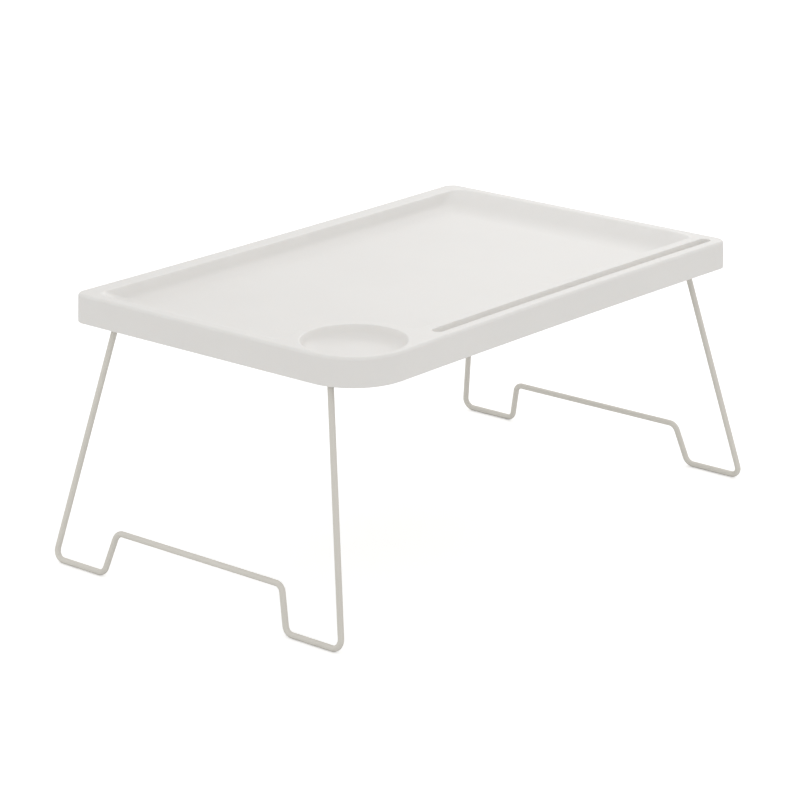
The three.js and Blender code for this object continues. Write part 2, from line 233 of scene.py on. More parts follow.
def handling_wear_group() -> bpy.types.NodeTree:
    """Build the traces of use: rubbed edges, broken up by noise, and hair-fine scuffs.

    Returns:
        Group with inputs Edge, Amount and Scuffs and outputs Rubbed and Scuffs.
    """
    group = new_group(
        "handling_wear",
        {"Edge": 0.0, "Amount": 1.0, "Scuffs": 1.0},
        {"Rubbed": "NodeSocketFloat", "Scuffs": "NodeSocketFloat"},
    )
    place = add_node(group, "ShaderNodeTexCoord").outputs["Object"]
    entry, end = group.nodes["in"], group.nodes["out"]
    broken = add_node(group, "ShaderNodeMapRange")
    broken.inputs["From Min"].default_value = 0.38
    broken.inputs["From Max"].default_value = 0.62
    group.links.new(add_noise(group, place, 60.0, 4.0), broken.inputs["Value"])
    rubbed = add_math(group, "MULTIPLY", entry.outputs["Edge"], broken.outputs["Result"])
    group.links.new(add_math(group, "MULTIPLY", rubbed, entry.outputs["Amount"]), end.inputs["Rubbed"])
    lines = []
    for turn, stretch in ((0.35, (14.0, 420.0, 14.0)), (1.9, (11.0, 360.0, 11.0))):
        turned = add_node(group, "ShaderNodeMapping")
        turned.inputs["Rotation"].default_value = (0.0, 0.0, turn)
        group.links.new(place, turned.inputs["Vector"])
        streak = add_node(group, "ShaderNodeMapRange")
        streak.inputs["From Min"].default_value = 0.66
        streak.inputs["From Max"].default_value = 0.74
        group.links.new(add_noise(group, turned.outputs[0], 1.0, 2.0, stretch), streak.inputs["Value"])
        lines.append(streak.outputs["Result"])
    both = add_math(group, "MAXIMUM", lines[0], lines[1])
    group.links.new(add_math(group, "MULTIPLY", both, entry.outputs["Scuffs"]), end.inputs["Scuffs"])
    return group


# ---------------------------------------------------------------- finishes


@dataclass(frozen=True)
class Finish:
    """A finish: a colour that drifts slowly, a grain, and rubbed edges.

    colour and rubbed_colour are linear, roughness is the untouched surface's, and spread is how far
    roughness drifts. polish is how far roughness drops at rubbed edges and rises along scuffs.
    grain is in lumps a metre and relief is the grain's height in metres.
    """

    name: str
    colour: tuple[float, float, float]
    rubbed_colour: tuple[float, float, float]
    roughness: float
    spread: float = 0.08
    polish: float = 0.12
    drift: float = 0.03
    grain: float = 2400.0
    relief: float = 0.00002
    bump: float = 0.25
    metallic: float = 0.0
    wear: float = 1.0
    scuffs: float = 0.0
    subsurface: float = 0.0
    subsurface_depth: float = 0.0012

    def make(self, grain: bpy.types.NodeTree, wear: bpy.types.NodeTree) -> bpy.types.Material:
        """Build the material.

        Args:
            grain: the shared grain group.
            wear: the shared wear group.

        Returns:
            The material, with its shader wired.
        """
        material = bpy.data.materials.new(self.name)
        material.use_nodes = True
        tree = material.node_tree
        shader = tree.nodes["Principled BSDF"]
        shader.inputs["Metallic"].default_value = self.metallic
        shader.inputs["Subsurface Weight"].default_value = self.subsurface
        shader.inputs["Subsurface Radius"].default_value = (1.0, 0.9, 0.8)
        shader.inputs["Subsurface Scale"].default_value = self.subsurface_depth
        surface = add_node(tree, "ShaderNodeGroup", node_tree=grain)
        surface.inputs["Grain"].default_value = self.grain
        traces = add_node(tree, "ShaderNodeGroup", node_tree=wear)
        traces.inputs["Amount"].default_value = self.wear
        traces.inputs["Scuffs"].default_value = self.scuffs
        edge = add_node(tree, "ShaderNodeAttribute", attribute_name="edge")
        tree.links.new(edge.outputs["Fac"], traces.inputs["Edge"])
        self._colour(tree, shader, surface, traces)
        self._roughness(tree, shader, surface, traces)
        bump = add_node(tree, "ShaderNodeBump")
        bump.inputs["Strength"].default_value = self.bump
        bump.inputs["Distance"].default_value = self.relief
        tree.links.new(surface.outputs["Height"], bump.inputs["Height"])
        tree.links.new(bump.outputs["Normal"], shader.inputs["Normal"])
        return material

    def _colour(
        self,
        tree: bpy.types.NodeTree,
        shader: bpy.types.Node,
        surface: bpy.types.Node,
        traces: bpy.types.Node,
    ) -> None:
        """Drift the colour with the mottle, and show the rubbed colour at worn edges.

        Args:
            tree: the material's node tree.
            shader: its Principled node.
            surface: its node of the grain group.
            traces: its node of the wear group.
        """
        ramp = add_node(tree, "ShaderNodeValToRGB")
        low = [max(0.0, c * (1.0 - self.drift)) for c in self.colour]
        high = [min(1.0, c * (1.0 + self.drift)) for c in self.colour]
        ramp.color_ramp.elements[0].position = 0.3
        ramp.color_ramp.elements[0].color = (*low, 1.0)
        ramp.color_ramp.elements[1].position = 0.7
        ramp.color_ramp.elements[1].color = (*high, 1.0)
        tree.links.new(surface.outputs["Mottle"], ramp.inputs["Fac"])
        mix = add_node(tree, "ShaderNodeMix", data_type="RGBA")
        tree.links.new(traces.outputs["Rubbed"], mix.inputs["Factor"])
        tree.links.new(ramp.outputs["Color"], mix.inputs["A"])
        mix.inputs["B"].default_value = (*self.rubbed_colour, 1.0)
        tree.links.new(mix.outputs["Result"], shader.inputs["Base Color"])

    def _roughness(
        self,
        tree: bpy.types.NodeTree,
        shader: bpy.types.Node,
        surface: bpy.types.Node,
        traces: bpy.types.Node,
    ) -> None:
        """Let roughness drift, drop where edges are rubbed and rise along scuffs.

        Args:
            tree: the material's node tree.
            shader: its Principled node.
            surface: its node of the grain group.
            traces: its node of the wear group.
        """
        drift = add_math(tree, "MULTIPLY", surface.outputs["Mottle"], self.spread)
        level = add_math(tree, "ADD", drift, self.roughness - self.spread / 2)
        polished = add_math(tree, "MULTIPLY", traces.outputs["Rubbed"], self.polish)
        level = add_math(tree, "SUBTRACT", level, polished)
        scuffed = add_math(tree, "MULTIPLY", traces.outputs["Scuffs"], self.polish)
        tree.links.new(add_math(tree, "ADD", level, scuffed), shader.inputs["Roughness"])


TRAY_PLASTIC = Finish(
    name="tray_plastic",
    colour=(0.825, 0.808, 0.782),
    rubbed_colour=(0.85, 0.836, 0.814),
    roughness=0.46,
    drift=0.012,
    relief=0.00003,
    bump=0.3,
    wear=0.7,
    scuffs=0.6,
    subsurface=0.12,
)
BRACKET_PLASTIC = Finish(
    name="bracket_plastic",
    colour=(0.74, 0.722, 0.69),
    rubbed_colour=(0.78, 0.765, 0.74),
    roughness=0.5,
    drift=0.02,
    relief=0.00004,
    scuffs=0.3,
)
POWDER_COAT = Finish(
    name="powder_coat",
    colour=(0.72, 0.692, 0.632),
    rubbed_colour=(0.54, 0.52, 0.485),
    roughness=0.42,
    drift=0.03,
    grain=1300.0,
    relief=0.00008,
    bump=0.35,
    wear=0.8,
)
ZINC_STEEL = Finish(
    name="zinc_steel",
    colour=(0.6, 0.61, 0.62),
    rubbed_colour=(0.75, 0.75, 0.75),
    roughness=0.34,
    spread=0.14,
    drift=0.06,
    grain=3500.0,
    metallic=1.0,
    scuffs=0.5,
)


# ---------------------------------------------------------------- mesh helpers


def link_mesh(name: str, mesh: bpy.types.Mesh) -> bpy.types.Object:
    """Make an object at the origin from a mesh and put it in the scene.

    Args:
        name: name of the object.
        mesh: its mesh.

    Returns:
        The object.
    """
    piece = bpy.data.objects.new(name, mesh)
    bpy.context.scene.collection.objects.link(piece)
    return piece


def soften_edges(piece: bpy.types.Object, width: float, segments: int, angle: float) -> None:
    """Round a piece's sharp edges with a bevel.

    Args:
        piece: the piece.
        width: width of the bevel, in millimetres.
        segments: flats across it.
        angle: edges that turn by more than this, in degrees, are rounded.
    """
    bevel = piece.modifiers.new("soft_edges", "BEVEL")
    bevel.width = width * MM
    bevel.segments = segments
    bevel.limit_method = "ANGLE"
    bevel.angle_limit = math.radians(angle)


@dataclass
class Shell:
    """Grids and fills gathered into one mesh, each point with its share of edge wear."""

    points: list[np.ndarray] = field(default_factory=list)
    wear: list[np.ndarray] = field(default_factory=list)
    faces: list[np.ndarray] = field(default_factory=list)
    count: int = 0
    merge: float = 2e-6
    speck: float = 1e-7

    def add_points(self, points: np.ndarray, wear: np.ndarray | float) -> int:
        """Add points.

        Args:
            points: the points, any number of rows by three.
            wear: edge wear of each point, or one value for all.

        Returns:
            Number of the first of them.
        """
        first = self.count
        self.points.append(points.reshape(-1, 3))
        self.wear.append(np.broadcast_to(wear, points.shape[:-1]).reshape(-1).astype(float))
        self.count += len(self.points[-1])
        return first

    def add_grid(self, grid: np.ndarray, wear: np.ndarray | float = 0.0) -> None:
        """Add a grid of quads whose last column joins the first.

        Args:
            grid: points, rows by columns by three.
            wear: edge wear of each point, or one value for all.
        """
        rows, columns = grid.shape[:2]
        numbers = self.add_points(grid, wear) + np.arange(rows * columns).reshape(rows, columns)
        following = np.roll(numbers, -1, axis=1)
        quads = [numbers[:-1], following[:-1], following[1:], numbers[1:]]
        self.faces.append(np.stack(quads, axis=-1).reshape(-1, 4))

    def add_fan(self, ring: np.ndarray) -> None:
        """Close a ring of points with triangles about its middle.

        Args:
            ring: the points, in order.
        """
        first = self.add_points(np.concatenate([ring, ring.mean(axis=0, keepdims=True)]), 0.0)
        numbers = first + np.arange(len(ring))
        middle = np.full(len(ring), first + len(ring))
        self.faces.append(np.stack([numbers, np.roll(numbers, -1), middle], axis=-1))

    def add_bar(self, grid: np.ndarray, wear: np.ndarray | float = 0.0) -> None:
        """Add a swept section in millimetres and close both of its ends about their middles.

        Args:
            grid: points, rows by columns by three.
            wear: edge wear of each point, or one value for all.
        """
        self.add_grid(grid * MM, wear)
        self.add_fan(grid[0] * MM)
        self.add_fan(grid[-1] * MM)

    def build(self, name: str, flats: tuple = (), smooth_angle: float = 40.0) -> bpy.types.Object:
        """Merge the grids, fill the level areas and make an object at the origin.

        Args:
            name: name of the piece.
            flats: level areas, each a list of rings that bound it, outer ring first.
            smooth_angle: edges sharper than this, in degrees, stay sharp.

        Returns:
            The finished object, its faces pointing out.
        """
        mesh = bpy.data.meshes.new(name)
        faces = [tuple(face) for block in self.faces for face in block.tolist()]
        mesh.from_pydata(np.concatenate(self.points), [], faces)
        attribute = mesh.attributes.new("edge", "FLOAT", "POINT")
        attribute.data.foreach_set("value", np.concatenate(self.wear).astype(np.float32))
        made = bmesh.new()
        made.from_mesh(mesh)
        bmesh.ops.remove_doubles(made, verts=made.verts[:], dist=self.merge)
        bmesh.ops.dissolve_degenerate(made, edges=made.edges[:], dist=self.speck)
        for rings in flats:
            self.fill_level(made, rings)
        bmesh.ops.recalc_face_normals(made, faces=made.faces[:])
        open_edges = sum(1 for edge in made.edges if len(edge.link_faces) != 2)
        for face in made.faces:
            face.smooth = True
        limit = math.radians(smooth_angle)
        for edge in made.edges:
            if len(edge.link_faces) == 2 and edge.calc_face_angle(0.0) > limit:
                edge.smooth = False
        made.to_mesh(mesh)
        made.free()
        LOG.info("%s: %d faces, %d open edges", name, len(mesh.polygons), open_edges)
        return link_mesh(name, mesh)

    def fill_level(self, made: bmesh.types.BMesh, rings: list[np.ndarray]) -> None:
        """Fill a level area between an outer ring and the rings of its holes with triangles.

        Its border is made of the open edges whose two ends both lie on a point of a ring.

        Args:
            made: the mesh that already holds the rings' points and edges.
            rings: points of each ring, in order.
        """
        height, reach = float(rings[0][0, 2]), 2 * self.merge
        level = [
            edge
            for edge in made.edges
            if len(edge.link_faces) == 1 and all(abs(end.co.z - height) < reach for end in edge.verts)
        ]
        ends = np.array([[tuple(end.co) for end in edge.verts] for edge in level])
        gaps = np.abs(ends[:, :, None] - np.concatenate(rings)).max(axis=-1).min(axis=-1)
        border = [edge for edge, gap in zip(level, gaps) if gap.max() < reach]
        bmesh.ops.triangle_fill(made, use_beauty=True, use_dissolve=False, edges=border)


def rounded(corners: list[tuple[float, float]], radius: float, steps: int = 5) -> np.ndarray:
    """Round each corner of a closed outline with an arc.

    The arc's centre lies on the corner's bisector, radius / sin(half angle) from the corner.

    Args:
        corners: the outline's corners in order, anticlockwise.
        radius: radius of every arc.
        steps: straight pieces in each arc.

    Returns:
        Points of the rounded outline.
    """
    points = np.array(corners, float)
    before = np.roll(points, 1, axis=0) - points
    after = np.roll(points, -1, axis=0) - points
    before /= np.linalg.norm(before, axis=1, keepdims=True)
    after /= np.linalg.norm(after, axis=1, keepdims=True)
    half = np.arccos(np.clip((before * after).sum(axis=1), -1, 1)) / 2
    back = (radius / np.tan(half))[:, None]
    start, end = points + before * back, points + after * back
    share = np.linspace(0.0, 1.0, steps + 1)[None, :, None]
    bisector = before + after
    bisector /= np.linalg.norm(bisector, axis=1, keepdims=True)
    centre = points + bisector * (radius / np.sin(half))[:, None]
    chord = start[:, None] * (1 - share) + end[:, None] * share - centre[:, None]
    arc = centre[:, None] + chord / np.linalg.norm(chord, axis=2, keepdims=True) * radius
    return arc.reshape(-1, 2)


def around(count: int) -> np.ndarray:
    """Angles of evenly spaced points round a full turn, in radians."""
    return np.linspace(0, 2 * math.pi, count + 1)[:-1]


def level_ring(x: float, y: float, z: float, radius: float, count: int) -> np.ndarray:
    """Points of a level circle about (x, y), at height z."""
    angle = around(count)
    return np.stack([x + radius * np.cos(angle), y + radius * np.sin(angle), np.full(count, z)], axis=-1)


def arc_points(
    centre: np.ndarray | tuple,
    radius: float,
    start: float,
    end: float,
    steps: int,
) -> np.ndarray:
    """Points on a circle from one angle to another, in radians, both ends included."""
    angle = np.linspace(start, end, steps + 1)
    return np.array(centre) + radius * np.stack([np.cos(angle), np.sin(angle)], axis=-1)


def line_points(start: np.ndarray, end: np.ndarray, steps: int) -> np.ndarray:
    """Points strictly between two ends of a straight line, in steps equal pieces."""
    share = np.arange(1, steps)[:, None] / steps
    return start + (end - start) * share


def bezier(start: tuple, control: tuple, end: tuple, steps: int) -> np.ndarray:
    """Quadratic curve: start, control and end weighted by (1-t)^2, 2t(1-t) and t^2."""
    t = np.linspace(0.0, 1.0, steps + 1)[:, None]
    return (1 - t) ** 2 * np.array(start) + 2 * t * (1 - t) * np.array(control) + t**2 * np.array(end)


# ---------------------------------------------------------------- tray


@dataclass
class Tray:
    """The moulded tray: skirt, rim, basin, cup recess and slot in one thin wall. Millimetres.

    A slope is how far a basin wall comes in, at slope_drop and at the floor. A cove gives how far a
    recess's wall stands in where its curve starts, at the curve's corner and where the level floor
    starts. hold and gap are how far a section runs on past a curve, so that it keeps its shape.
    A band is the first row of a section that is rubbed and the first one after it that isn't.
    """

    length: float = 560.0
    width: float = 360.0
    top: float = 260.0
    skirt: float = 28.0
    draft: float = 0.8
    lip: float = 3.0
    foot: float = 0.7
    foot_draft: float = 0.02
    root: float = 1.0
    gap: float = 0.5
    hold: float = 0.4
    lip_band: tuple[int, int] = (2, 9)
    foot_band: tuple[int, int] = (12, 18)
    lip_wear: float = 1.0
    foot_wear: float = 0.6
    inner_wear: float = 0.9
    wall: float = 2.5
    waist: float = 3.0
    plain_corner: float = 14.0
    cup_corner: float = 56.0
    corner_steps: int = 20
    long_steps: int = 56
    short_steps: int = 24
    basin_depth: float = 15.0
    basin_corner: float = 14.0
    basin_lip: float = 1.3
    basin_hold: tuple[float, float] = (0.5, 0.6)
    basin_band: tuple[int, int] = (1, 9)
    slope_drop: float = 12.0
    cove_start: float = 0.72
    short_rim: float = 12.5
    far_rim: float = 20.5
    near_rim: float = 34.0
    short_slope: tuple[float, float] = (24.0, 44.0)
    long_slope: tuple[float, float] = (5.0, 22.0)
    cup_radius: float = 49.0
    cup_depth: float = 10.8
    cup_lip: float = 1.2
    cup_cove: tuple[float, float, float] = (2.6, 5.6, 20.58)
    cup_cove_start: float = 0.48
    cup_lip_growth: float = 0.16
    cup_around: int = 128
    recess_band: tuple[int, int] = (1, 8)
    ring_width: float = 10.0
    ring_fillet: float = 12.0
    slot_width: float = 11.6
    slot_depth: float = 9.0
    slot_lip: float = 0.9
    slot_hold: float = 0.3
    slot_draft: float = 0.06
    slot_cove: tuple[float, float, float] = (1.1, 1.5, 3.6)
    slot_cove_height: float = 2.6
    slot_flat: float = 0.001
    slot_ends: tuple[float, float] = (-158.0, 267.0)
    slot_y: float = -163.0

    @classmethod
    def of(cls, node: str) -> "Tray":
        """Make a tray with the length and height of the frame's own.

        The width is kept, since the waist leaves no point of the frame's tray at its full width.

        Args:
            node: the tray's node in the frame.

        Returns:
            The tray.
        """
        low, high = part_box(node)
        return cls(length=(high.x - low.x) / MM, top=high.z / MM)

    @property
    def cup_centre(self) -> np.ndarray:
        """Middle of the cup recess, which the tray's own corner is rounded about."""
        return np.array([-self.length / 2 + self.cup_corner, -self.width / 2 + self.cup_corner])

    def waisted(self, grid: np.ndarray) -> np.ndarray:
        """Draw the long sides in by the waist at mid-length and by nothing at the ends.

        y shrinks by waist / half the width, times 1 - (x / half the length)^2.

        Args:
            grid: points of the straight-sided tray.

        Returns:
            Points of the waisted one.
        """
        along = grid[..., 0] / (self.length / 2)
        share = 1 - self.waist / (self.width / 2) * (1 - along**2)
        return np.stack([grid[..., 0], grid[..., 1] * share, grid[..., 2]], axis=-1)

    def raised(self, outline: np.ndarray, z: float) -> np.ndarray:
        """Give a flat outline its height."""
        return np.concatenate([outline, np.full((len(outline), 1), z)], axis=1)

    def rectangle(self, box: tuple[float, float, float, float], radii: tuple) -> np.ndarray:
        """Rounded rectangle, anticlockwise from its near right corner.

        Args:
            box: left, right, near and far limits.
            radii: radius of the near right, far right, far left and near left corners.

        Returns:
            Points of the outline, always the same number.
        """
        left, right, near, far = box
        signs = ((1, -1), (1, 1), (-1, 1), (-1, -1))
        arcs = []
        for index, ((sx, sy), radius) in enumerate(zip(signs, radii)):
            corner = np.array([right if sx > 0 else left, far if sy > 0 else near])
            centre = corner - radius * np.array([sx, sy])
            start = math.radians(-90 + 90 * index)
            arcs.append(arc_points(centre, radius, start, start + math.pi / 2, self.corner_steps))
        parts = []
        for index, arc in enumerate(arcs):
            following = arcs[(index + 1) % 4]
            steps = self.short_steps if index % 2 == 0 else self.long_steps
            parts += [arc, line_points(arc[-1], following[0], steps)]
        return np.concatenate(parts)

    def outline(self, inset: float) -> np.ndarray:
        """Outline of the whole tray.

        Args:
            inset: how far it is drawn in all round.

        Returns:
            Points of the outline.
        """
        box = (
            -self.length / 2 + inset,
            self.length / 2 - inset,
            -self.width / 2 + inset,
            self.width / 2 - inset,
        )
        plain = self.plain_corner - inset
        return self.rectangle(box, (plain, plain, plain, self.cup_corner - inset))

    def skirt_profile(self) -> np.ndarray:
        """Section of the skirt: over the lip, down the outside, round the foot and up the inside.

        Returns:
            Inset and height of each point.
        """
        low, high, quarter = self.top - self.skirt, self.top, math.pi / 2
        lip_in, inner, root = self.draft + self.lip, self.draft + self.wall, self.root
        lip, foot, wall = self.lip, self.foot, self.wall
        return np.concatenate(
            [
                [(lip_in + self.hold, high)],
                arc_points((lip_in, high - lip), lip, quarter, 2 * quarter, 8),
                [(self.draft, high - lip - self.gap), (self.foot_draft, low + foot + self.gap)],
                arc_points((foot, low + foot), foot, 2 * quarter, 3 * quarter, 4),
                arc_points((wall - foot, low + foot), foot, 3 * quarter, 4 * quarter, 4),
                arc_points((inner + root, high - wall - root), root, 2 * quarter, quarter, 4),
                [(inner + root + self.hold, high - wall)],
            ]
        )

    def wall_profile(self, slope: tuple[float, float]) -> np.ndarray:
        """Section of a basin wall: a small lip, a straight slope and a cove to the floor.

        Args:
            slope: how far the wall has come in at slope_drop and at the floor.

        Returns:
            Inset and drop of each point.
        """
        steep, total = slope
        rate, lip, depth = steep / self.slope_drop, self.basin_lip, self.basin_depth
        bend, cove = lip + self.hold, self.slope_drop * self.cove_start
        before, after = self.basin_hold
        return np.concatenate(
            [
                [(-lip - before, 0.0)],
                bezier((-lip, 0.0), (0.0, 0.0), (rate * lip, lip), 6),
                [(rate * bend, bend)],
                bezier((rate * cove, cove), (rate * depth, depth), (total, depth), 14),
                [(total + after, depth)],
            ]
        )

    def basin_outline(self, short: float, long: float, grow: float) -> np.ndarray:
        """Outline of the basin at one depth, with the ring round the cup recess left standing.

        A fillet circle touches the side at one radius from it, and stands off the ring's centre by the
        ring's radius and its own, so its centre comes from a right-angled triangle.

        Args:
            short: how far the short sides have come in.
            long: how far the long sides and the ring have come in.
            grow: how much larger the outline is on the underside.

        Returns:
            Points of the outline, anticlockwise from its near right corner.
        """
        left = -self.length / 2 + self.short_rim + short - grow
        right = self.length / 2 - self.short_rim - short + grow
        near = -self.width / 2 + self.near_rim + long - grow
        far = self.width / 2 - self.far_rim - long + grow
        ring = self.cup_radius + self.ring_width + long - grow
        fillet, corner = self.ring_fillet + grow, self.basin_corner + grow
        cx, cy = self.cup_centre
        reach = ring + fillet
        side_centre = np.array([left + fillet, cy + math.sqrt(reach**2 - (left + fillet - cx) ** 2)])
        near_centre = np.array([cx + math.sqrt(reach**2 - (near + fillet - cy) ** 2), near + fillet])
        toward_side = math.atan2(side_centre[1] - cy, side_centre[0] - cx)
        toward_near = math.atan2(near_centre[1] - cy, near_centre[0] - cx)
        steps = self.corner_steps
        quarter = math.pi / 2
        arcs = [
            arc_points(np.array([right - corner, near + corner]), corner, -quarter, 0, steps),
            arc_points(np.array([right - corner, far - corner]), corner, 0, quarter, steps),
            arc_points(np.array([left + corner, far - corner]), corner, quarter, 2 * quarter, steps),
        ]
        side_fillet = arc_points(side_centre, fillet, math.pi, math.pi + toward_side, steps)
        ring_arc = arc_points(self.cup_centre, ring, toward_side, toward_near, 2 * steps)[1:-1]
        near_fillet = arc_points(near_centre, fillet, toward_near + math.pi, 3 * quarter, steps)
        return np.concatenate(
            [
                arcs[0],
                line_points(arcs[0][-1], arcs[1][0], self.short_steps),
                arcs[1],
                line_points(arcs[1][-1], arcs[2][0], self.long_steps),
                arcs[2],
                line_points(arcs[2][-1], side_fillet[0], self.short_steps),
                side_fillet,
                ring_arc,
                near_fillet,
                line_points(near_fillet[-1], arcs[0][0], self.long_steps),
            ]
        )

    def basin_grid(self, grow: float) -> np.ndarray:
        """Surface of the basin's walls: each row is the outline at one depth.

        Args:
            grow: thickness between this surface and the upper one.

        Returns:
            Points, a row to each depth.
        """
        short, long = self.wall_profile(self.short_slope), self.wall_profile(self.long_slope)
        rows = [
            self.raised(self.basin_outline(s[0], l[0], grow), self.top - l[1] - grow)
            for s, l in zip(short, long)
        ]
        return self.waisted(np.stack(rows))

    def cup_grid(self, grow: float) -> np.ndarray:
        """Surface of the cup recess: a section turned about the recess's middle.

        The underside is wider by the full thickness at the floor and by cup_lip_growth of it at the
        lip, in proportion to the depth between them.

        Args:
            grow: thickness between this surface and the upper one.

        Returns:
            Points, a row to each point of the section.
        """
        radius, depth, lip = self.cup_radius, self.cup_depth, self.cup_lip
        start, corner, level = self.cup_cove
        section = np.concatenate(
            [
                [(radius + lip + self.hold, 0.0)],
                bezier((radius + lip, 0.0), (radius, 0.0), (radius - lip / 2, lip), 6),
                bezier(
                    (radius - start, depth * self.cup_cove_start),
                    (radius - corner, depth),
                    (radius - level, depth),
                    14,
                ),
                [(radius * share, depth) for share in (0.5, 0.3, 0.1)],
            ]
        )
        least = self.cup_lip_growth
        across = section[:, :1] + grow * (least + (1 - least) * section[:, 1:] / depth)
        angle = around(self.cup_around)
        x = self.cup_centre[0] + across * np.cos(angle)
        y = self.cup_centre[1] + across * np.sin(angle)
        z = np.broadcast_to(self.top - section[:, 1:] - grow, x.shape)
        return self.waisted(np.stack([x, y, z], axis=-1))

    def slot_grid(self, grow: float) -> np.ndarray:
        """Surface of the slot: a section carried round an outline with half-round ends.

        The two arcs of an end are smaller than half the width by slot_flat, so that they don't meet.

        Args:
            grow: thickness between this surface and the upper one.

        Returns:
            Points, a row to each point of the section.
        """
        depth, lip, hold = self.slot_depth, self.slot_lip, self.slot_hold
        start, corner, level = self.slot_cove
        section = np.concatenate(
            [
                [(-lip - hold, 0.0)],
                bezier((-lip, 0.0), (0.0, 0.0), (self.slot_draft, lip), 6),
                bezier((start, depth - self.slot_cove_height), (corner, depth), (level, depth), 8),
                [(level + hold, depth)],
            ]
        )
        rows = []
        for inset, drop in section:
            radius = self.slot_width / 2 - inset + grow
            left, right = self.slot_ends[0] + inset - grow, self.slot_ends[1] - inset + grow
            box = (left, right, self.slot_y - radius, self.slot_y + radius)
            outline = self.rectangle(box, (radius - self.slot_flat,) * 4)
            rows.append(self.raised(outline, self.top - drop - grow))
        return self.waisted(np.stack(rows))

    def build(self) -> bpy.types.Object:
        """Build the whole moulding as one closed shell.

        Returns:
            The tray's object.
        """
        shell = Shell()
        profile = self.skirt_profile()
        skirt = self.waisted(np.stack([self.raised(self.outline(i), z) for i, z in profile]))
        wear = np.zeros(skirt.shape[:2])
        wear[slice(*self.lip_band)] = self.lip_wear
        wear[slice(*self.foot_band)] = self.foot_wear
        shell.add_grid(skirt * MM, wear)
        rims = {0.0: [skirt[0]], self.wall: [skirt[-1]]}
        flats = []
        for grow in (0.0, self.wall):
            for grid, band in (
                (self.basin_grid(grow), self.basin_band),
                (self.cup_grid(grow), self.recess_band),
                (self.slot_grid(grow), self.recess_band),
            ):
                wear = np.zeros(grid.shape[:2])
                wear[slice(*band)] = self.inner_wear if grow == 0.0 else 0.0
                shell.add_grid(grid * MM, wear)
                rims[grow].append(grid[0])
                flats.append([grid[-1] * MM])
            flats.append([ring * MM for ring in rims[grow]])
        return shell.build("tray_moulding", flats)


# ---------------------------------------------------------------- wire leg frames


